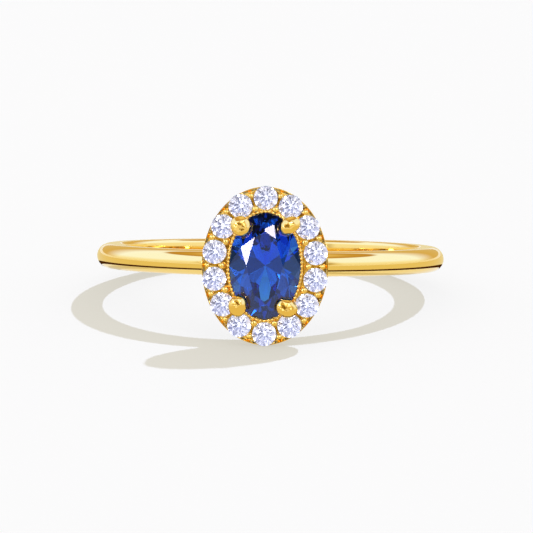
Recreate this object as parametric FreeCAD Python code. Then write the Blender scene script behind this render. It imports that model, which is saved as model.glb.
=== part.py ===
import FreeCAD, Part
import os
from math import atan2, cos, degrees, radians, sin, sqrt, tan

from FreeCAD import Vector

# Halo engagement ring. The finger axis is +Z with the origin at the middle of
# the finger hole, and the stones face -Y. Every piece of the head is drawn
# upright (stone table up, long axis along Y) and turned into place on export.

# Driving dimensions, mm -----------------------------------------------------
FINGER_D = 17.3           # ring size 7
BAND_WALL = 1.4           # finger hole to the crest of the band
BAND_WIDTH = 1.4
BAND_EASE = 0.22          # rounding of the two inner edges

STONE_W, STONE_L = 4.0, 6.0   # oval centre stone
GIRDLE_H = 12.30          # lower edge of its girdle above the finger axis
GIRDLE_T = 0.10
CROWN_SLOPE = 32.0        # slopes of its facets from the level, degrees
STAR_SLOPE = 19.0
UPPER_SLOPE = 39.0
LOWER_STEEPER = 1.6       # lower girdle facets, more than the pavilion mains beside them
TABLE_INSET = 0.98        # girdle edge to table edge, seen from above
STAR_INSET = 1.11         # and to the table edges that the star facets cut
PAVILION_DEPTH = 2.05

HALO_COUNT = 14
HALO_STONE_D = 1.32       # round brilliants
ROUND_GIRDLE, ROUND_TABLE = 0.03, 0.57            # girdle height and table width, of the diameter
ROUND_CROWN, ROUND_PAVILION = 34.5, 41.0          # slopes of the mains, degrees
ROUND_STAR, ROUND_UPPER, ROUND_LOWER = 21.4, 41.1, 42.2
HALO_PATH = (2.87, 3.79)  # half width and half length of the ring of stones
HALO_OUTLINE = (3.51, 4.40)   # the stones stand flush with the rim
HALO_TOP = 12.30          # upper face of the halo plate
HALO_T = 0.75
SEAT_SLACK = 0.01         # between a stone's edge and its seat
DRILL_R = 0.26            # hole under each stone, of the stone's diameter
HALO_UNDERCUT = 0.28      # bevel under the plate's rim
HALO_SINK = 0.06          # stone girdle below the upper face
BEAD_IN = (-0.42, 0.22)   # raised grains: offset from the ring of stones, radius
BEAD_OUT = (0.47, 0.17)

COLLAR_GAP = 0.11         # collar's outer wall outside the stone's edge
COLLAR_LIP = 0.09         # and its inner wall inside it, as a ledge
COLLAR_T = 0.45

RAIL_PATH = (1.05, 1.60)  # base rail under the head, along its centre line
RAIL_W = 0.6
RAIL_LOW, RAIL_TOP = 9.65, 10.45

CLAW_ANGLE = 45.0         # where the claws stand round the oval
CLAW_FOOT_R, CLAW_NECK_R = 0.34, 0.31
CLAW_ROOT = 0.3           # how far the wire goes down into the rail
CLAW_OUT = 1.03           # neck's centre, in half widths of the stone
TIP_HEEL_R, TIP_TOE_R = 0.44, 0.38    # egg-shaped tip, outer and inner end
TIP_REACH = 0.26          # between the centres of its two ends
TIP_LEAN = 20.0           # tip's long axis above the level
TIP_RISE = 0.22           # tip's centre above the girdle

# Worked out -----------------------------------------------------------------
BORE_R = FINGER_D / 2
SEAT_H = HALO_TOP - HALO_SINK - ROUND_GIRDLE * HALO_STONE_D   # lower edge of a small stone's girdle
BAND_R = BORE_R + BAND_WALL
HALF_W, HALF_L = STONE_W / 2, STONE_L / 2
UP = Vector(0, 0, 1)
FAR = 30.0                # side of a cutting block, larger than any stone


def oval_point(half_w, half_l, angle):
    return Vector(half_w * cos(radians(angle)), half_l * sin(radians(angle)), 0)


def oval_normal(half_w, half_l, angle):
    n = Vector(cos(radians(angle)) / half_w, sin(radians(angle)) / half_l, 0)
    return n.normalize()


def oval_block(half_w, half_l, low, high):
    """Upright block with an oval outline."""
    curve = Part.Ellipse(Vector(0, half_l, low), Vector(half_w, 0, low), Vector(0, 0, low))
    return Part.Face(Part.Wire(curve.toShape())).extrude(UP * (high - low))


def even_places(count, half_w, half_l):
    """Angles that space `count` stones evenly along an oval, from its long end."""
    steps = 3600
    marks = [90 + 360 * k / steps for k in range(steps + 1)]
    points = [oval_point(half_w, half_l, a) for a in marks]
    run = [0.0]
    for here, there in zip(points, points[1:]):
        run.append(run[-1] + here.distanceToPoint(there))
    places = []
    for k in range(count):
        goal = run[-1] * k / count
        nearest = min(range(steps), key=lambda i: abs(run[i] - goal))
        places.append(marks[nearest])
    return places


# Stones: a blank is ground away by one flat facet after another --------------
def grind(stone, plan, slope, through, side):
    """Grind a facet that faces `plan`, at `slope` degrees, crown side 1 or pavilion -1."""
    normal = plan * sin(radians(slope)) + UP * (side * cos(radians(slope)))
    block = Part.makeBox(FAR, FAR, FAR, Vector(-FAR / 2, -FAR / 2, 0))
    block.Placement = FreeCAD.Placement(through, FreeCAD.Rotation(UP, normal))
    return stone.cut(block)


def round_brilliant(diameter):
    """Round brilliant with the lower edge of its girdle on z = 0."""
    r = diameter / 2
    girdle, table_r = ROUND_GIRDLE * diameter, ROUND_TABLE * r
    top = girdle + (r - table_r) * tan(radians(ROUND_CROWN))
    stone = Part.makeCylinder(r, 2 * r + top, Vector(0, 0, -2 * r))
    stone = grind(stone, Vector(1, 0, 0), 0, Vector(0, 0, top), 1)
    for k in range(8):
        main, between = radians(45 * k), radians(45 * k + 22.5)
        out = Vector(cos(main), sin(main), 0)
        stone = grind(stone, out, ROUND_CROWN, out * r + UP * girdle, 1)
        stone = grind(stone, out, ROUND_PAVILION, out * r, -1)
        out = Vector(cos(between), sin(between), 0)
        edge = table_r * cos(radians(22.5))
        stone = grind(stone, out, ROUND_STAR, out * edge + UP * top, 1)
    for k in range(16):
        out = Vector(cos(radians(22.5 * k + 11.25)), sin(radians(22.5 * k + 11.25)), 0)
        edge = cos(radians(11.25)) * r
        stone = grind(stone, out, ROUND_UPPER, out * edge + UP * girdle, 1)
        stone = grind(stone, out, ROUND_LOWER, out * edge, -1)
    return stone


def oval_brilliant():
    """Oval centre stone in its place: even crown slope, pavilion run to one point."""
    top = GIRDLE_H + GIRDLE_T
    table = top + TABLE_INSET * tan(radians(CROWN_SLOPE))
    stone = oval_block(HALF_W, HALF_L, GIRDLE_H - 2 * PAVILION_DEPTH, table)
    for k in range(8):
        angle = 45 * k
        edge, out = oval_point(HALF_W, HALF_L, angle), oval_normal(HALF_W, HALF_L, angle)
        stone = grind(stone, out, CROWN_SLOPE, edge + UP * top, 1)
        slope = degrees(atan2(PAVILION_DEPTH, edge.dot(out)))
        stone = grind(stone, out, slope, edge + UP * GIRDLE_H, -1)
        angle = 45 * k + 22.5
        edge, out = oval_point(HALF_W, HALF_L, angle), oval_normal(HALF_W, HALF_L, angle)
        stone = grind(stone, out, STAR_SLOPE, edge - out * STAR_INSET + UP * table, 1)
    for k in range(16):
        angle = 22.5 * k + 11.25
        edge, out = oval_point(HALF_W, HALF_L, angle), oval_normal(HALF_W, HALF_L, angle)
        edge = edge * cos(radians(11.25))
        stone = grind(stone, out, UPPER_SLOPE, edge + UP * top, 1)
        slope = degrees(atan2(PAVILION_DEPTH, edge.dot(out))) + LOWER_STEEPER
        stone = grind(stone, out, slope, edge + UP * GIRDLE_H, -1)
    return stone


# Band -----------------------------------------------------------------------
def shank():
    """Half-round band: flat inside with eased edges, a full round outside."""
    half = BAND_WIDTH / 2
    crest, shoulder = BAND_R, BAND_R - half
    flat, eased = half - BAND_EASE, BORE_R + BAND_EASE
    slack = BAND_EASE * (1 - sqrt(0.5))

    def at(r, y):
        return Vector(r, y, 0)

    edges = [
        Part.LineSegment(at(BORE_R, -flat), at(BORE_R, flat)),
        Part.Arc(at(BORE_R, flat), at(BORE_R + slack, half - slack), at(eased, half)),
        Part.LineSegment(at(eased, half), at(shoulder, half)),
        Part.Arc(at(shoulder, half), at(crest, 0), at(shoulder, -half)),
        Part.LineSegment(at(shoulder, -half), at(eased, -half)),
        Part.Arc(at(eased, -half), at(BORE_R + slack, slack - half), at(BORE_R, -flat)),
    ]
    face = Part.Face(Part.Wire([edge.toShape() for edge in edges]))
    return face.revolve(Vector(0, 0, 0), Vector(0, 1, 0), 360)


# Head -----------------------------------------------------------------------
def base_rail(band):
    """Oval rail under the head, cut underneath to sit astride the band."""
    outer = [half + RAIL_W / 2 for half in RAIL_PATH]
    inner = [half - RAIL_W / 2 for half in RAIL_PATH]
    rail = oval_block(*outer, RAIL_LOW, RAIL_TOP).cut(oval_block(*inner, RAIL_LOW, RAIL_TOP))
    return rail.cut(band)


def claw(stones):
    """Claw wire, notched for the stones' edges, with an egg-shaped tip leaning over them."""
    foot = oval_point(*RAIL_PATH, CLAW_ANGLE) + UP * RAIL_TOP
    neck = oval_point(HALF_W, HALF_L, CLAW_ANGLE) * CLAW_OUT
    neck += UP * (GIRDLE_H + GIRDLE_T + TIP_RISE)
    run = neck - foot
    start = foot - run * (CLAW_ROOT / run.Length)
    stem = Part.makeCone(CLAW_FOOT_R, CLAW_NECK_R, (neck - start).Length, start, run)
    inward = oval_normal(HALF_W, HALF_L, CLAW_ANGLE) * -1
    lean = inward * cos(radians(TIP_LEAN)) + UP * sin(radians(TIP_LEAN))
    heel, toe = neck - lean * (TIP_REACH / 2), neck + lean * (TIP_REACH / 2)
    taper = (TIP_HEEL_R - TIP_TOE_R) / TIP_REACH
    cheek_r = [r * sqrt(1 - taper * taper) for r in (TIP_HEEL_R, TIP_TOE_R)]
    cheek_length = TIP_REACH * (1 - taper * taper)
    egg = Part.makeSphere(TIP_HEEL_R, heel).fuse([
        Part.makeSphere(TIP_TOE_R, toe),
        Part.makeCone(*cheek_r, cheek_length, heel + lean * (TIP_HEEL_R * taper), lean),
    ])
    return stem.fuse(egg).cut(stones)


def four_claws(stones):
    """The four claws by name, each a mirror image of its neighbours."""
    first = claw(stones)
    origin, across, along = Vector(0, 0, 0), Vector(1, 0, 0), Vector(0, 1, 0)
    return {
        "claw_upper_right": first,
        "claw_upper_left": first.mirror(origin, across),
        "claw_lower_right": first.mirror(origin, along),
        "claw_lower_left": first.mirror(origin, across).mirror(origin, along),
    }


def collar(centre_stone, claws):
    """Oval seat rail that carries the centre stone's edge all the way round."""
    top = GIRDLE_H + GIRDLE_T
    outer = oval_block(HALF_W + COLLAR_GAP, HALF_L + COLLAR_GAP, top - COLLAR_T, top)
    inner = oval_block(HALF_W - COLLAR_LIP, HALF_L - COLLAR_LIP, top - COLLAR_T, top)
    return outer.cut(inner).cut(centre_stone).cut(claws)


def halo_frame(places, claws):
    """Oval plate with a drilled seat for each small stone and grains raised between them."""
    low = HALO_TOP - HALO_T
    plate = oval_block(*HALO_OUTLINE, low, HALO_TOP)
    rim = [edge for edge in plate.Edges if edge.BoundBox.ZMax < low + 0.01]
    plate = plate.makeChamfer(HALO_UNDERCUT, rim)
    seat_r, hole_r = HALO_STONE_D / 2 + SEAT_SLACK, HALO_STONE_D * DRILL_R
    cone_h = (seat_r - hole_r) * tan(radians(ROUND_PAVILION))
    grains = []
    for k, angle in enumerate(places):
        following = places[(k + 1) % HALO_COUNT]
        middle = (angle + (following + 360 if following < angle else following)) / 2
        spot, out = oval_point(*HALO_PATH, middle), oval_normal(*HALO_PATH, middle)
        for shift, radius in (BEAD_IN, BEAD_OUT):
            grains.append(Part.makeSphere(radius, spot + out * shift + UP * HALO_TOP))
    frame = plate.fuse(grains)
    for angle in places:
        spot = oval_point(*HALO_PATH, angle)
        pocket = Part.makeCylinder(seat_r, HALO_T, spot + UP * SEAT_H)
        cone = Part.makeCone(hole_r, seat_r, cone_h, spot + UP * (SEAT_H - cone_h))
        hole = Part.makeCylinder(hole_r, HALO_T, spot + UP * (SEAT_H - cone_h - HALO_T))
        frame = frame.cut(pocket.fuse([cone, hole]))
    opening = oval_block(HALF_W + COLLAR_GAP, HALF_L + COLLAR_GAP, low, HALO_TOP + 1)
    return frame.cut(opening).cut(claws)


# The ring put together --------------------------------------------------------
def halo_stones(places):
    """The small stones by name, side by side round the oval."""
    cut_stone = round_brilliant(HALO_STONE_D)
    stones = {}
    for k, angle in enumerate(places):
        stone = cut_stone.copy()
        stone.rotate(Vector(0, 0, 0), UP, angle)
        stone.translate(oval_point(*HALO_PATH, angle) + UP * SEAT_H)
        stones["halo_stone_%02d" % (k + 1)] = stone
    return stones


def build():
    places = even_places(HALO_COUNT, *HALO_PATH)
    centre, small = oval_brilliant(), halo_stones(places)
    claws = four_claws([centre] + list(small.values()))
    wires = list(claws.values())
    band = shank()
    nodes = {
        "shank": band,
        "base_rail": base_rail(band).cut(wires),
        "seat_collar": collar(centre, wires),
        "halo_frame": halo_frame(places, wires),
        "centre_stone": centre,
    }
    nodes.update(claws)
    nodes.update(small)
    return nodes


os.makedirs("parts", exist_ok=True)
for name, shape in build().items():
    shape.rotate(Vector(0, 0, 0), Vector(1, 0, 0), 90)
    piece = shape.Solids[0] if len(shape.Solids) == 1 else shape
    box = piece.optimalBoundingBox()
    print("%-18s %d solid(s), valid %s, %.3f mm3, %.2f x %.2f x %.2f mm" % (
        name, len(shape.Solids), piece.isValid(), piece.Volume, box.XLength, box.YLength, box.ZLength))
    piece.exportStep("parts/%s.step" % name)
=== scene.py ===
import math
import random

import bpy
from mathutils import Matrix, Vector


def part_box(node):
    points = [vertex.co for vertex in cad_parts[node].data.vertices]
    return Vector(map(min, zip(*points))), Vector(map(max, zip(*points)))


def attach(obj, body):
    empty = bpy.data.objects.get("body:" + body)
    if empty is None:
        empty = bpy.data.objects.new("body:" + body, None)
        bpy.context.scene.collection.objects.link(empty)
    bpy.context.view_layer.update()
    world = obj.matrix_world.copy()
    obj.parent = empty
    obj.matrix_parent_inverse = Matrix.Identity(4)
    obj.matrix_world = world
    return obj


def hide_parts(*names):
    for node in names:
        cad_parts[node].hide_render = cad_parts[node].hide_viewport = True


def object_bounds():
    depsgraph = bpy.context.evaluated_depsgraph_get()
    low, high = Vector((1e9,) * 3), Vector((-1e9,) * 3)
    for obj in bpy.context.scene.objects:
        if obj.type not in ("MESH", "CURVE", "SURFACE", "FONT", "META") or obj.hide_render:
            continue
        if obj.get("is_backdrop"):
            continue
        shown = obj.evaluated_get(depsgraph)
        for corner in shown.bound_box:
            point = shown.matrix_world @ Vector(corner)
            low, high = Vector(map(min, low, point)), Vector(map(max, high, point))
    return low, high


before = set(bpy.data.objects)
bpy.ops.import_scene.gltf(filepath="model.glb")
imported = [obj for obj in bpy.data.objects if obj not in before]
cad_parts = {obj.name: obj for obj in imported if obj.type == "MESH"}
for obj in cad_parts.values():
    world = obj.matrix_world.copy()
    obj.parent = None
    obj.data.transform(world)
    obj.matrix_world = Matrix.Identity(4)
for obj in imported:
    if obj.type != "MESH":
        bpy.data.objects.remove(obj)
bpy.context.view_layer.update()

scene = bpy.context.scene
MM = 0.001


# Camera. A long lens on the ring from 280 mm, close to the plane of the band
# and a little to its right, with the head tilted very slightly clockwise.
camera_data = bpy.data.cameras.new("camera")
camera = bpy.data.objects.new("camera", camera_data)
scene.collection.objects.link(camera)
scene.camera = camera
distance = 280 * MM
rise, swing, roll = math.radians(2.5), math.radians(1.43), math.radians(0.70)
camera_data.sensor_width = 36
camera_data.lens = 325.7
camera_data.clip_start, camera_data.clip_end = 10 * MM, 5.0
back = Vector((
    math.sin(swing) * math.cos(rise), -math.cos(swing) * math.cos(rise), math.sin(rise)))
turn = (-back).to_track_quat("-Z", "Y").to_matrix().to_4x4() @ Matrix.Rotation(roll, 4, "Z")
aim = Vector((-0.22 * MM, 0, -0.56 * MM))
camera.matrix_world = Matrix.Translation(aim + back * distance) @ turn


# Floor. The ring lies on its side on a white sheet: it rests on the lowest
# point of the halo and on the back of the band, so the sheet is tilted here.
def hex_colour(text, alpha=1.0):
    """Linear colour of an sRGB hex value."""
    parts = [int(text[i:i + 2], 16) / 255 for i in (1, 3, 5)]
    linear = [p / 12.92 if p <= 0.04045 else ((p + 0.055) / 1.055) ** 2.4 for p in parts]
    return linear + [alpha]


def add_node(tree, kind, inputs=None, **settings):
    """Adds a node with its settings, and sets or links its inputs."""
    node = tree.nodes.new(kind)
    for name, value in settings.items():
        setattr(node, name, value)
    for name, value in (inputs or {}).items():
        if isinstance(value, bpy.types.NodeSocket):
            tree.links.new(value, node.inputs[name])
        else:
            node.inputs[name].default_value = value
    return node


def new_material(name):
    """An empty node material and its tree."""
    material = bpy.data.materials.new(name)
    material.use_nodes = True
    material.node_tree.nodes.clear()
    return material, material.node_tree


_, band_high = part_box("shank")
halo_low, halo_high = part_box("halo_frame")
section = band_high.z
crown_line = band_high.y - section
halo_edge_back = 0.28 * MM  # the halo is widest from this far in front of its back
air_gap = 0.01 * MM
rest_y = halo_high.y - halo_edge_back
tilt = math.radians(10.0)
for _ in range(20):  # settles on the slope that touches both the halo and the band
    lift = -halo_low.z * math.cos(tilt) - section
    tilt = math.asin(lift / (crown_line - rest_y))
floor_up = Vector((0, -math.sin(tilt), math.cos(tilt)))
floor_point = floor_up * (floor_up.dot(Vector((0, rest_y, halo_low.z))) - air_gap)

bpy.ops.object.select_all(action="DESELECT")
bpy.ops.mesh.primitive_plane_add(size=3.0, location=floor_point, rotation=(tilt, 0, 0))
floor = bpy.context.object
floor.name = "floor"
# Paper lit from behind: near white everywhere, and the shadow on it stays pale
# and warm. The stones mirror the tent instead of it.
paper, tree = new_material("white paper sweep")
matt = add_node(tree, "ShaderNodeBsdfDiffuse", {"Color": (0.5, 0.5, 0.5, 1), "Roughness": 0.0})
backlit = add_node(tree, "ShaderNodeEmission", {"Color": (0.600, 0.573, 0.495, 1), "Strength": 1.0})
skin = add_node(tree, "ShaderNodeAddShader")
tree.links.new(matt.outputs[0], skin.inputs[0])
tree.links.new(backlit.outputs[0], skin.inputs[1])
gone = add_node(tree, "ShaderNodeBsdfTransparent")
sheet = add_node(tree, "ShaderNodeMixShader", {
    "Fac": add_node(tree, "ShaderNodeLightPath").outputs["Is Singular Ray"]})
tree.links.new(skin.outputs[0], sheet.inputs[1])
tree.links.new(gone.outputs[0], sheet.inputs[2])
add_node(tree, "ShaderNodeOutputMaterial", {"Surface": sheet.outputs[0]})
floor.data.materials.append(paper)
floor.visible_transmission = False
floor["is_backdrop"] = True


# Light. A white tent stands round the ring, and one small lamp behind it on
# the right throws the ring's shadow forward and to the left. Polished metal
# and cut stones show only what they mirror, so each is given its own walls.
def ramp(tree, fac, *stops):
    """A colour ramp node with its stops as (place, colour)."""
    node = add_node(tree, "ShaderNodeValToRGB", {"Fac": fac})
    points = node.color_ramp.elements
    for place, _ in stops[len(points):]:
        points.new(place)
    for point, (place, colour) in zip(points, stops):
        point.position, point.color = place, (*colour, 1)
    return node


def mix_colours(tree, share, first, second):
    """Mixes two colours, each a socket or a plain colour, by a share from 0 to 1."""
    node = add_node(tree, "ShaderNodeMix", {"Factor": share}, data_type="RGBA")
    for place, colour in ((6, first), (7, second)):
        if isinstance(colour, bpy.types.NodeSocket):
            tree.links.new(colour, node.inputs[place])
        else:
            node.inputs[place].default_value = (*colour, 1)
    return node.outputs[2]


world = bpy.data.worlds.new("light tent")
scene.world = world
world.use_nodes = True
tree = world.node_tree
tree.nodes.clear()
rays = add_node(tree, "ShaderNodeLightPath")
towards = add_node(tree, "ShaderNodeTexCoord").outputs["Generated"]
axes = add_node(tree, "ShaderNodeSeparateXYZ", {"Vector": towards})
height = add_node(tree, "ShaderNodeMapRange", {
    "Value": axes.outputs["Z"], "From Min": -1.0, "From Max": 1.0}).outputs["Result"]
# The gold mirrors these walls from the floor up: warm card, a cool bright wall,
# and an amber seam under the roof that darkens the band's upper edge.
wall_light = (1.03, 1.30, 2.4)
walls = ramp(
    tree, height,
    (0.0, (0.9, 0.8, 0.6)), (0.48, (0.96, 0.98, 1.0)), (0.56, (1.0, 1.08, 1.25)),
    (0.66, wall_light), (0.885, wall_light),
    (0.900, (0.55, 0.32, 0.07)), (0.94, (0.62, 0.42, 0.14)), (1.0, (0.95, 0.86, 0.62)))
# Straight in front of the ring they are broken into light and dark patches, so
# that the claws and the grains have contrast.
gold_patches = add_node(tree, "ShaderNodeTexNoise", {
    "Vector": towards, "Scale": 2.6, "Detail": 1.0, "Roughness": 0.5})
gold_front = ramp(
    tree, gold_patches.outputs["Fac"],
    (0.36, (0.14, 0.08, 0.02)), (0.44, (0.62, 0.46, 0.16)), (0.56, (0.90, 0.78, 0.42)),
    (0.62, (1.3, 1.4, 1.6)), (0.66, (2.0, 2.3, 3.2)))
facing = add_node(tree, "ShaderNodeMapRange", {
    "Value": axes.outputs["Y"], "From Min": -0.78, "From Max": -0.62,
    "To Min": 1.0, "To Max": 0.0}).outputs["Result"]
behind = add_node(tree, "ShaderNodeMapRange", {
    "Value": axes.outputs["Y"], "From Min": 0.50, "From Max": 0.80}).outputs["Result"]
rear_amber = (0.72, 0.54, 0.22)
around = mix_colours(tree, behind, walls.outputs["Color"], rear_amber)
for_gold = mix_colours(tree, facing, around, gold_front.outputs["Color"])
# What is seen through the stones: patches of grey and white, dark at both
# sides, brighter low down, blue behind the ring and under it.
stone_patches = add_node(tree, "ShaderNodeTexNoise", {
    "Vector": towards, "Scale": 2.4, "Detail": 1.0, "Roughness": 0.5})
patchy = ramp(
    tree, stone_patches.outputs["Fac"],
    (0.38, (0.30, 0.30, 0.42)), (0.47, (0.80, 0.80, 0.92)),
    (0.54, (1.3, 1.28, 1.38)), (0.62, (2.4, 2.4, 2.5)))
sideways = add_node(tree, "ShaderNodeMath", {0: axes.outputs["X"]}, operation="ABSOLUTE")
dark_sides = add_node(tree, "ShaderNodeMapRange", {
    "Value": sideways.outputs[0], "From Min": 0.45, "From Max": 0.85,
    "To Min": 1.0, "To Max": 0.12})
bright_below = add_node(tree, "ShaderNodeMapRange", {
    "Value": axes.outputs["Z"], "From Min": -0.15, "From Max": -0.5,
    "To Min": 0.78, "To Max": 1.7})
rear = add_node(tree, "ShaderNodeMapRange", {
    "Value": axes.outputs["Y"], "From Min": 0.2, "From Max": 0.8})
shade = add_node(tree, "ShaderNodeMath", {
    0: dark_sides.outputs["Result"], 1: bright_below.outputs["Result"]}, operation="MULTIPLY")
blue_behind, blue_under = (0.14, 0.62, 1.15), (0.55, 0.70, 1.35)
rear_blue = mix_colours(tree, rear.outputs["Result"], patchy.outputs["Color"], blue_behind)
from_floor = add_node(tree, "ShaderNodeMapRange", {
    "Value": axes.outputs["Z"], "From Min": -0.60, "From Max": -0.80}).outputs["Result"]
below_blue = mix_colours(tree, from_floor, rear_blue, blue_under)
seen_through = add_node(tree, "ShaderNodeVectorMath", {0: below_blue}, operation="SCALE")
tree.links.new(shade.outputs[0], seen_through.inputs["Scale"])
# What the stones' own surfaces mirror: a pale blue sheet below, a dark tent above.
stone_sheen = ramp(
    tree, height,
    (0.45, (0.66, 0.80, 1.55)), (0.52, (0.09, 0.10, 0.14)), (0.9, (0.05, 0.06, 0.12)))
for_stones = mix_colours(tree, rays.outputs["Is Transmission Ray"],
                         stone_sheen.outputs["Color"], seen_through.outputs[0])
# Only the stones are smooth enough for a ray to count as singular.
mirrored = mix_colours(tree, rays.outputs["Is Singular Ray"], for_gold, for_stones)
fill = (0.3, 0.3, 0.3)
white = (0.965, 0.965, 0.965)
unseen = mix_colours(tree, rays.outputs["Is Diffuse Ray"], mirrored, fill)
backdrop = mix_colours(tree, rays.outputs["Is Camera Ray"], unseen, white)
sky = add_node(tree, "ShaderNodeBackground", {"Color": backdrop, "Strength": 1.0})
add_node(tree, "ShaderNodeOutputWorld", {"Surface": sky.outputs[0]})

lamp_data = bpy.data.lights.new("lamp behind", "SUN")
lamp_data.energy = 2.05
lamp_data.color = (0.90, 1.0, 1.33)
lamp_data.angle = math.radians(1.2)
lamp = bpy.data.objects.new("lamp behind", lamp_data)
scene.collection.objects.link(lamp)
lamp_from = Vector((0.371, 0.452, 0.812))
lamp.visible_glossy = False  # it casts the shadow and makes no glint
lamp.rotation_mode = "QUATERNION"
lamp.rotation_quaternion = lamp_from.to_track_quat("Z", "Y")

# Two softboxes in front give the sapphire's crown its two lilac flashes.
softbox_size, softbox_away = 40 * MM, 220 * MM
softbox_sides = {
    "softbox right": (0.305, -0.818, 0.488),
    "softbox left": (-0.615, -0.779, 0.119),
}
for name, side in softbox_sides.items():
    box_data = bpy.data.lights.new(name, "AREA")
    box_data.shape, box_data.size = "SQUARE", softbox_size
    box_data.energy, box_data.color = 0.075, (0.86, 0.80, 1.0)
    softbox = bpy.data.objects.new(name, box_data)
    scene.collection.objects.link(softbox)
    softbox.location = Vector(side) * softbox_away
    softbox.rotation_mode = "QUATERNION"
    softbox.rotation_quaternion = Vector(side).to_track_quat("Z", "Y")
    softbox.visible_camera = softbox.visible_diffuse = False

# Two ring-shaped cards lie round the ring and are seen only in the gold. The
# dark one is a painted shadow: it stands in for the band's own shadow on the
# floor, mirrored as the thin dark line along the band; the amber one fills below it.
# inner and outer radius in mm, and colour
cards = {
    # near-black sheet where the floor has only the band's shadow: a painted shadow, seen mirrored
    # in the gold
    "painted shadow card": (11.7, 13.2, (0.06, 0.018, 0.001, 1)),
    "amber card": (13.2, 40.0, (0.84, 0.74, 0.44, 1)),
}
card_lift = 0.05 * MM
for name, (inner, outer, colour) in cards.items():
    bpy.ops.object.select_all(action="DESELECT")
    bpy.ops.mesh.primitive_circle_add(vertices=96, radius=outer * MM, fill_type="NGON")
    card = bpy.context.object
    card.name = name
    bpy.ops.object.mode_set(mode="EDIT")
    bpy.ops.mesh.select_all(action="SELECT")
    bpy.ops.mesh.inset(thickness=(outer - inner) * MM)
    bpy.ops.mesh.delete(type="FACE")
    bpy.ops.object.mode_set(mode="OBJECT")
    card.rotation_euler = (tilt, 0, 0)
    card.location = floor_point + floor_up * card_lift
    board, tree = new_material(name)
    glow = add_node(tree, "ShaderNodeEmission", {"Color": colour})
    gone = add_node(tree, "ShaderNodeBsdfTransparent")
    skin = add_node(tree, "ShaderNodeMixShader", {
        "Fac": add_node(tree, "ShaderNodeLightPath").outputs["Is Singular Ray"]})
    tree.links.new(glow.outputs[0], skin.inputs[1])
    tree.links.new(gone.outputs[0], skin.inputs[2])
    add_node(tree, "ShaderNodeOutputMaterial", {"Surface": skin.outputs[0]})
    card.data.materials.append(board)
    for ray in ("camera", "diffuse", "transmission", "shadow", "volume_scatter"):
        setattr(card, "visible_" + ray, False)
    card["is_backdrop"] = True

scene.view_settings.view_transform = "Standard"
scene.cycles.caustics_reflective = scene.cycles.caustics_refractive = False
scene.cycles.max_bounces = scene.cycles.transmission_bounces = 24
scene.cycles.glossy_bounces = 12


# Band. Plain half-round ring of 14 karat yellow gold: the inside is flat with
# eased edges, the outside a full round. It is drawn from wire, bent, soldered
# and polished, so nothing shows where it was joined.

# A mirror polish on warm yellow gold, with faint hazy patches about a millimetre
# wide where fingers and cloth have dulled it a little.
gold, tree = new_material("polished yellow gold")
haze_size = 1.11 * MM
wear = add_node(tree, "ShaderNodeTexCoord")
haze = add_node(tree, "ShaderNodeTexNoise", {
    "Vector": wear.outputs["Object"], "Scale": 1 / haze_size, "Detail": 3.0, "Roughness": 0.6})
smooth = add_node(tree, "ShaderNodeMapRange", {
    "Value": haze.outputs["Fac"], "From Min": 0.35, "From Max": 0.65,
    "To Min": 0.03, "To Max": 0.07})
metal = add_node(tree, "ShaderNodeBsdfPrincipled", {
    "Base Color": hex_colour("#FBDA82"), "Metallic": 1.0, "Roughness": smooth.outputs["Result"]})
add_node(tree, "ShaderNodeOutputMaterial", {"Surface": metal.outputs[0]})


def edit():
    """Opens the active object in edit mode with nothing selected."""
    bpy.ops.object.mode_set(mode="EDIT")
    bpy.ops.mesh.select_all(action="DESELECT")


def finish_piece(piece, name, material, slot, *nodes):
    """Names a finished piece, gives it its material and puts it in the CAD nodes' place."""
    piece.name = piece.data.name = name
    piece.data.materials.clear()
    piece.data.materials.append(material)
    piece.visible_transmission = False  # or the gold would stain the stones yellow
    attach(piece, "root")
    if nodes:
        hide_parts(*nodes)


def choose(piece, kind, test):
    """In edit mode, selects the vertices or faces whose place passes a test."""
    bpy.ops.mesh.select_all(action="DESELECT")
    bpy.ops.mesh.select_mode(type=kind)
    bpy.ops.object.mode_set(mode="OBJECT")
    for item in piece.data.vertices if kind == "VERT" else piece.data.polygons:
        item.select = bool(test(item.co if kind == "VERT" else item.center))
    bpy.ops.object.mode_set(mode="EDIT")


wall, ease = 1.4 * MM, 0.22 * MM
crown_x, bore_x = band_high.x - section, band_high.x - wall
TINY = 0.001 * MM
bpy.ops.object.select_all(action="DESELECT")
bpy.ops.mesh.primitive_circle_add(
    vertices=64, radius=section, location=(crown_x, 0, 0), rotation=(math.pi / 2, 0, 0))
band = bpy.context.object
bpy.ops.object.transform_apply(location=True, rotation=True, scale=True)
edit()
choose(band, "VERT", lambda place: place.x < crown_x - TINY)
bpy.ops.mesh.delete(type="VERT")
choose(band, "VERT", lambda place: place.x < crown_x + TINY)
bpy.ops.mesh.extrude_region_move(TRANSFORM_OT_translate={"value": (bore_x - crown_x, 0, 0)})
bpy.ops.mesh.edge_face_add()
bpy.ops.mesh.bevel(offset=ease, segments=6, affect="VERTICES")
bpy.ops.mesh.select_all(action="SELECT")
bpy.ops.mesh.spin(steps=288, angle=2 * math.pi, center=(0, 0, 0), axis=(0, 0, 1))
bpy.ops.mesh.select_all(action="SELECT")
bpy.ops.mesh.remove_doubles(threshold=TINY)
bpy.ops.mesh.normals_make_consistent(inside=False)
bpy.ops.object.mode_set(mode="OBJECT")
bpy.ops.object.shade_smooth()
finish_piece(band, "band", gold, "gold", "shank")


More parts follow.
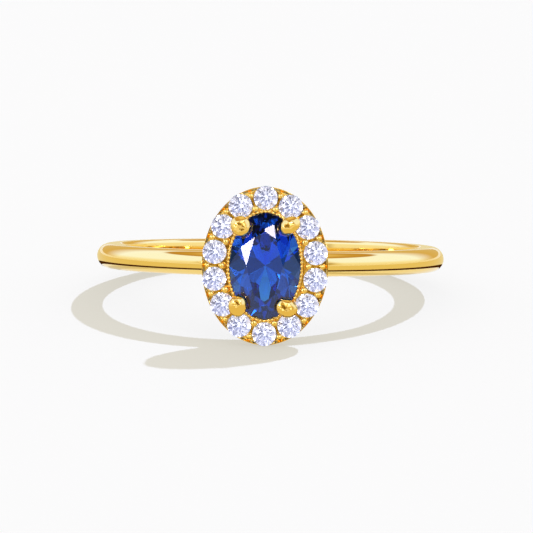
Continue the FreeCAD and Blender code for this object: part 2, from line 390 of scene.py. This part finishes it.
# Base rail. An oval rail of gold under the head, filed underneath to sit
# astride the band and soldered there; the four claws start from it.
def oval_plate(half_w, half_l, low, high, steps):
    """Adds an upright plate with an oval outline, table side up, and opens it for editing."""
    bpy.ops.object.select_all(action="DESELECT")
    bpy.ops.mesh.primitive_circle_add(
        vertices=steps, radius=1, fill_type="NGON", location=(0, 0, low))
    plate = bpy.context.object
    plate.scale = (half_w, half_l, 1)
    bpy.ops.object.transform_apply(location=True, rotation=True, scale=True)
    edit()
    bpy.ops.mesh.select_all(action="SELECT")
    bpy.ops.mesh.extrude_region_move(TRANSFORM_OT_translate={"value": (0, 0, high - low)})
    bpy.ops.mesh.select_all(action="SELECT")
    bpy.ops.mesh.normals_make_consistent(inside=False)
    return plate


def modify(piece, kind, **settings):
    """Adds a modifier with its settings and applies it."""
    bpy.ops.object.select_all(action="DESELECT")
    bpy.context.view_layer.objects.active = piece
    piece.select_set(True)
    modifier = piece.modifiers.new(kind.lower(), kind)
    for name, value in settings.items():
        setattr(modifier, name, value)
    bpy.ops.object.modifier_apply(modifier=modifier.name)


def cut_with(piece, cutter):
    """Cuts one closed mesh out of another and throws the cutter away."""
    modify(piece, "BOOLEAN", operation="DIFFERENCE", solver="EXACT", object=cutter)
    bpy.data.objects.remove(cutter)


def turn_to_face(piece):
    """Turns a piece that was drawn with the stones up, so that they face -Y."""
    piece.data.transform(Matrix.Rotation(math.pi / 2, 4, "X"))
    piece.data.update()


def smooth_piece(piece, degrees=35):
    """Smooth shading that keeps the edges sharper than an angle."""
    bpy.ops.object.select_all(action="DESELECT")
    bpy.context.view_layer.objects.active = piece
    piece.select_set(True)
    bpy.ops.object.shade_smooth_by_angle(angle=math.radians(degrees))


# Softer than the band: the surface was filed and tumbled, and marks 0.2 mm wide
# break up its reflections. Its deeper yellow is painted shade: a darker copy of the
# band's gold that stands in for the gold-on-gold reflections in the head.
cast_gold_painted_shade, tree = new_material("hand-finished cast gold, painted shade")
mark_size, mark_depth = 0.2 * MM, 0.03 * MM
wear = add_node(tree, "ShaderNodeTexCoord")
tooled = add_node(tree, "ShaderNodeTexNoise", {
    "Vector": wear.outputs["Object"], "Scale": 1 / mark_size, "Detail": 3.0, "Roughness": 0.55})
smooth = add_node(tree, "ShaderNodeMapRange", {
    "Value": tooled.outputs["Fac"], "From Min": 0.35, "From Max": 0.65,
    "To Min": 0.05, "To Max": 0.12})
dents = add_node(tree, "ShaderNodeBump", {
    "Height": tooled.outputs["Fac"], "Strength": 0.18, "Distance": mark_depth})
# the base colour #F8D070, deeper than the band's #FBDA82, is painted shade, not a different alloy
metal = add_node(tree, "ShaderNodeBsdfPrincipled", {
    "Base Color": hex_colour("#F8D070"), "Metallic": 1.0, "Roughness": smooth.outputs["Result"],
    "Normal": dents.outputs["Normal"]})
add_node(tree, "ShaderNodeOutputMaterial", {"Surface": metal.outputs[0]})

rail_low, rail_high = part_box("base_rail")
rail_wire, rail_bottom, rail_top = 0.6 * MM, -rail_high.y, -rail_low.y
rail_round, rail_steps = 0.12 * MM, 96
rail = oval_plate(rail_high.x, rail_high.z, rail_bottom, rail_top, rail_steps)
bpy.ops.object.mode_set(mode="OBJECT")
hole = oval_plate(
    rail_high.x - rail_wire, rail_high.z - rail_wire, rail_bottom - MM, rail_top + MM, rail_steps)
bpy.ops.object.mode_set(mode="OBJECT")
cut_with(rail, hole)
modify(rail, "BEVEL", width=rail_round, segments=4,
       limit_method="ANGLE", angle_limit=math.radians(50))
turn_to_face(rail)
seat = band.copy()
seat.data = band.data.copy()
scene.collection.objects.link(seat)
cut_with(rail, seat)
smooth_piece(rail)
finish_piece(rail, "base_rail_polished", cast_gold_painted_shade, "gold", "base_rail")


# Seat collar. A thin oval wall of gold inside the halo that the sapphire's
# edge rests on. Its top is milgrained: rolled into a row of tiny beads.
_, stone_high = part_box("centre_stone")
collar_low, collar_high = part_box("seat_collar")
collar_top, collar_wall = -collar_low.y, 0.2 * MM
collar_steps, collar_round = 144, 0.04 * MM
milgrain_drop = 0.06 * MM  # the wall stops this far below the collar's full height
half_w, half_l = collar_high.x, collar_high.z
collar = oval_plate(
    half_w, half_l, -collar_high.y, collar_top - milgrain_drop, collar_steps)
bpy.ops.object.mode_set(mode="OBJECT")
hole = oval_plate(
    half_w - collar_wall, half_l - collar_wall, collar_top - MM, collar_top + MM, collar_steps)
bpy.ops.object.mode_set(mode="OBJECT")
cut_with(collar, hole)
modify(collar, "BEVEL", width=collar_round, segments=3,
       limit_method="ANGLE", angle_limit=math.radians(50))


def oval_walk(half_w, half_l, count):
    """Places spaced evenly along an oval, each with its outward direction, from the long end."""
    steps = 3600
    marks = [math.pi / 2 + 2 * math.pi * k / steps for k in range(steps + 1)]
    points = [Vector((half_w * math.cos(a), half_l * math.sin(a), 0)) for a in marks]
    run = [0.0]
    for here, there in zip(points, points[1:]):
        run.append(run[-1] + (there - here).length)
    places, nearest = [], 0
    for k in range(count):
        while run[nearest] < run[-1] * k / count:
            nearest += 1
        point = points[nearest]
        outward = Vector((point.x / half_w ** 2, point.y / half_l ** 2, 0)).normalized()
        places.append((point, outward))
    return places


def join_pieces(pieces):
    """Joins pieces into the first one."""
    bpy.ops.object.select_all(action="DESELECT")
    for piece in pieces:
        piece.select_set(True)
    bpy.context.view_layer.objects.active = pieces[0]
    bpy.ops.object.join()
    return pieces[0]


def grain(place, radius, flatten, segments, rings):
    """A raised grain of metal: a bead set on the plate with its top burnished."""
    bpy.ops.object.select_all(action="DESELECT")
    bpy.ops.mesh.primitive_uv_sphere_add(
        segments=segments, ring_count=rings, radius=radius, location=place)
    bead = bpy.context.object
    bead.scale = (1, 1, flatten)
    bpy.ops.object.transform_apply(location=True, rotation=True, scale=True)
    return bead


chance = random.Random(7)
milgrain_count, milgrain_inset, milgrain_sink = 72, 0.08 * MM, 0.03 * MM
burnished = 0.9  # a bead's height as a share of its width
milgrain = [collar]
for point, out in oval_walk(half_w - milgrain_inset, half_l - milgrain_inset, milgrain_count):
    size = chance.uniform(0.088, 0.118) * MM
    wander = out * chance.uniform(-0.01, 0.02) * MM
    place = point + wander + Vector((0, 0, collar_top - milgrain_sink))
    milgrain.append(grain(place, size, burnished, 10, 7))
collar = join_pieces(milgrain)
turn_to_face(collar)
smooth_piece(collar, 60)
finish_piece(collar, "milgrained_collar", cast_gold_painted_shade, "gold", "seat_collar")


# Halo plate. An oval plate of gold, drilled and opened into a seat for each
# small stone, with a bright-cut rim round it. Grains raised from the metal
# between the seats are burnished over the stones' edges to hold them.
halo_top, halo_bottom, undercut = 12.30 * MM, 11.55 * MM, 0.28 * MM
outline_w, outline_l = halo_high.x, halo_high.z
rim, bright_cut, recess = 0.04 * MM, 0.10 * MM, 0.12 * MM
plate_steps, plate_round = 224, 0.018 * MM
plate = oval_plate(outline_w, outline_l, halo_bottom + undercut, halo_top, plate_steps)
choose(plate, "FACE", lambda place: place.z > halo_top - TINY)
bpy.ops.mesh.inset(thickness=rim)
bpy.ops.mesh.inset(thickness=bright_cut)
bpy.ops.transform.translate(value=(0, 0, -recess))
choose(plate, "FACE", lambda place: place.z < halo_bottom + undercut + TINY)
bpy.ops.mesh.extrude_region_move(TRANSFORM_OT_translate={"value": (0, 0, -undercut)})
bpy.ops.transform.resize(
    value=(1 - undercut / outline_w, 1 - undercut / outline_l, 1),
    center_override=(0, 0, halo_bottom))
bpy.ops.object.mode_set(mode="OBJECT")
hole = oval_plate(half_w, half_l, halo_bottom - MM, halo_top + MM, collar_steps)
bpy.ops.object.mode_set(mode="OBJECT")
cut_with(plate, hole)

first_low, first_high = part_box("halo_stone_01")
gem_r = (first_high.x - first_low.x) / 2
crown_rise = 0.06 + 0.43 * math.tan(math.radians(34.5))  # girdle and crown, as a share of gem_r
girdle_h = -first_low.y - gem_r * crown_rise
stone_places = []
stone_count = 14
for k in range(stone_count):
    low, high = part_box("halo_stone_%02d" % (k + 1))
    stone_places.append(Vector(((low.x + high.x) / 2, (low.z + high.z) / 2, 0)))
seat_slack, seat_wall, drill_depth = 0.01 * MM, 0.5 * MM, 1.5 * MM
seat_r, drill_r = gem_r + seat_slack, gem_r * 0.5
slope = math.tan(math.radians(41))
seats = []
for place in stone_places:
    bpy.ops.object.select_all(action="DESELECT")
    bpy.ops.mesh.primitive_cylinder_add(
        vertices=48, radius=seat_r, depth=seat_wall,
        location=place + Vector((0, 0, girdle_h + seat_wall / 2)))
    drill = bpy.context.object
    bpy.ops.object.transform_apply(location=True, rotation=True, scale=True)
    edit()
    choose(drill, "FACE", lambda spot: spot.z < girdle_h + TINY)
    for down, shrink in ((slope * (seat_r - drill_r), drill_r / seat_r), (drill_depth, 1)):
        bpy.ops.mesh.extrude_region_move(TRANSFORM_OT_translate={"value": (0, 0, -down)})
        bpy.ops.transform.resize(value=(shrink, shrink, 1), center_override=place)
    bpy.ops.object.mode_set(mode="OBJECT")
    seats.append(drill)
cut_with(plate, join_pieces(seats))
modify(plate, "BEVEL", width=plate_round, segments=2,
       limit_method="ANGLE", angle_limit=math.radians(40))

# near enough the oval that the halo's stones stand on, to tell the way outwards,
# and the places where a claw stands instead of a grain
ring_w, ring_l = 2.85, 3.79
claw_x, claw_room = 2.0 * MM, 0.25 * MM
grain_rise = 0.03 * MM
metal_parts = [plate]
for k, place in enumerate(stone_places):
    following = stone_places[(k + 1) % stone_count]
    spot = (place + following) / 2
    out = Vector((spot.x / ring_w ** 2, spot.y / ring_l ** 2, 0)).normalized()
    near_claw = abs(abs(spot.x) - claw_x) < claw_room
    if not near_claw:
        inner = spot - out * chance.uniform(0.38, 0.44) * MM
        inner += Vector((0, 0, halo_top + grain_rise))
        metal_parts.append(grain(inner, chance.uniform(0.20, 0.235) * MM, burnished, 24, 14))
    outer = spot + out * chance.uniform(0.36, 0.42) * MM + Vector((0, 0, halo_top))
    metal_parts.append(grain(outer, chance.uniform(0.15, 0.19) * MM, burnished, 24, 14))
halo = join_pieces(metal_parts)
turn_to_face(halo)
smooth_piece(halo, 40)
finish_piece(halo, "halo_plate_bright_cut", cast_gold_painted_shade, "gold", "halo_frame")


# Claws. Four round gold wires soldered to the base rail. Each leans outwards
# to the stone's edge, is notched for it, and ends in an egg-shaped tip that
# was pressed over the stone and rounded off by hand.
girdle_top = 12.40 * MM
neck_h, foot_h = girdle_top + 0.22 * MM, rail_bottom + 0.35 * MM
wire_r, past_edge = 0.34 * MM, 1.03  # the wires pass just outside the stone's outline
neck = Vector((stone_high.x, stone_high.z, 0)) * past_edge * math.sqrt(0.5)
foot = Vector((rail_high.x - rail_wire / 2, rail_high.z - rail_wire / 2, 0)) * math.sqrt(0.5)
outward = Vector((neck.x / stone_high.x ** 2, neck.y / stone_high.z ** 2, 0)).normalized()
bearing = math.atan2(outward.y, outward.x)
foot_in_claw = Matrix.Rotation(-bearing, 3, "Z") @ (foot - neck)
# in mm: height over the girdle, shift outwards, half size along and across the claw
stem = [(-1.10, 0.00, 0.33, 0.33), (-0.35, 0.00, 0.31, 0.31), (-0.10, 0.00, 0.34, 0.33)]
tip = [(0.02, -0.04, 0.50, 0.44), (0.20, -0.08, 0.64, 0.55), (0.42, -0.12, 0.60, 0.53),
       (0.58, -0.16, 0.42, 0.38), (0.66, -0.18, 0.16, 0.15)]
tip_lean, blend = -0.08 * MM, 0.2 * MM  # the tips' middle, and the height that their turn takes
file_mark_depth = 0.12 * MM
hammered = bpy.data.textures.new("file marks", "CLOUDS")
hammered.noise_scale = 0.6 * MM
# side in X and in Z, the tip's turn in degrees, its size along and across, and
# its place in X and Z
claw_shapes = {
    "claw_upper_right": (1, 1, -2, 1.06, 0.90, 1.38, 2.28),
    "claw_upper_left": (-1, 1, 6, 0.98, 1.08, 1.38, 2.24),
    "claw_lower_right": (1, -1, -5, 1.04, 0.98, 1.27, 2.32),
    "claw_lower_left": (-1, -1, 50, 1.02, 0.98, 1.47, 2.24),
}


def merge_piece(piece):
    """Merges a mesh's doubled corners and turns its faces outwards."""
    bpy.ops.object.select_all(action="DESELECT")
    piece.select_set(True)
    bpy.context.view_layer.objects.active = piece
    edit()
    bpy.ops.mesh.select_all(action="SELECT")
    bpy.ops.mesh.remove_doubles(threshold=TINY)
    bpy.ops.mesh.normals_make_consistent(inside=False)
    bpy.ops.object.mode_set(mode="OBJECT")


def stone_copy(name):
    """A merged copy of a stone, to notch the metal with."""
    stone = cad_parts[name]
    copy = bpy.data.objects.new(name + "_copy", stone.data.copy())
    scene.collection.objects.link(copy)
    merge_piece(copy)
    return copy


for name, (side_x, side_z, twist, along, across, tip_x, tip_z) in claw_shapes.items():
    bpy.ops.object.select_all(action="DESELECT")
    start = Vector((foot_in_claw.x, foot_in_claw.y, foot_h))
    bpy.ops.mesh.primitive_circle_add(
        vertices=16, radius=wire_r, fill_type="NGON", location=start)
    claw = bpy.context.object
    bpy.ops.object.transform_apply(location=True, rotation=True, scale=True)
    edit()
    bpy.ops.mesh.select_all(action="SELECT")
    here, size_x, size_y = start, wire_r, wire_r
    settled = Matrix.Rotation(-bearing, 3, "Z") @ (Vector((tip_x * MM, tip_z * MM, 0)) - neck)
    for ring, (height, shift, reach, breadth) in enumerate(stem + tip):
        share = (girdle_top + height * MM - foot_h) / (neck_h - foot_h)
        lean = start.lerp(Vector((0, 0, neck_h)), min(share, 1))
        there = Vector((lean.x + shift * MM, lean.y, girdle_top + height * MM))
        if ring >= len(stem):
            reach, breadth = reach * along, breadth * across
            there += (settled - Vector((tip_lean, 0, 0))) * min((ring - len(stem) + 1) / 2, 1)
        bpy.ops.mesh.extrude_region_move(TRANSFORM_OT_translate={"value": there - here})
        bpy.ops.transform.resize(
            value=(reach * MM / size_x, breadth * MM / size_y, 1), center_override=there)
        here, size_x, size_y = there, reach * MM, breadth * MM
    bpy.ops.mesh.select_all(action="SELECT")
    bpy.ops.mesh.normals_make_consistent(inside=False)
    bpy.ops.object.mode_set(mode="OBJECT")
    modify(claw, "SUBSURF", levels=2, render_levels=2)
    for vertex in claw.data.vertices:
        grip = min(max((vertex.co.z - girdle_top) / blend + 1, 0), 1)
        pivot = Vector((settled.x, settled.y, 0)) * grip
        turned = Matrix.Rotation(math.radians(twist) * grip, 3, "Z")
        vertex.co = pivot + turned @ (vertex.co - pivot)
    claw.data.transform(Matrix.Translation(neck) @ Matrix.Rotation(bearing, 4, "Z"))
    claw.data.transform(Matrix.Diagonal((side_x, side_z, 1, 1)))
    turn_to_face(claw)
    modify(claw, "DISPLACE", texture=hammered, texture_coords="GLOBAL",
           strength=file_mark_depth, mid_level=0.5)
    merge_piece(claw)
    cut_with(claw, stone_copy("centre_stone"))
    smooth_piece(claw, 50)
    finish_piece(claw, name + "_rounded", cast_gold_painted_shade, "gold", name)


# Stones. The blue sapphire is an oval brilliant and the small white ones are
# round brilliants: flat facets ground and polished, so they keep their edges.

# Clear and deep: light is coloured by how far it goes through the stone, so the
# thick middle is a full blue and thin edges are paler.
sapphire, tree = new_material("blue sapphire")
gem = add_node(tree, "ShaderNodeBsdfPrincipled", {
    "Base Color": hex_colour("#FFFFFF"), "Roughness": 0.0, "IOR": 1.77, "Transmission Weight": 1.0})
deep_blue, per_mm = hex_colour("#30BCE8"), 1 / (1.0 * MM)
tint = add_node(tree, "ShaderNodeVolumeAbsorption", {"Color": deep_blue, "Density": per_mm})
add_node(tree, "ShaderNodeOutputMaterial", {"Surface": gem.outputs[0], "Volume": tint.outputs[0]})
# Almost colourless with a breath of grey lilac, and bright for its strong refraction.
white_stone, tree = new_material("colourless brilliant")
gem = add_node(tree, "ShaderNodeBsdfPrincipled", {
    "Base Color": hex_colour("#E8E8EF"), "Roughness": 0.0, "IOR": 2.2, "Transmission Weight": 1.0})
add_node(tree, "ShaderNodeOutputMaterial", {"Surface": gem.outputs[0]})
for name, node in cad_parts.items():
    if name == "centre_stone":
        node.data.materials.clear()
        node.data.materials.append(sapphire)
    elif name.startswith("halo_stone"):
        node.data.materials.clear()
        node.data.materials.append(white_stone)

low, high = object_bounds()
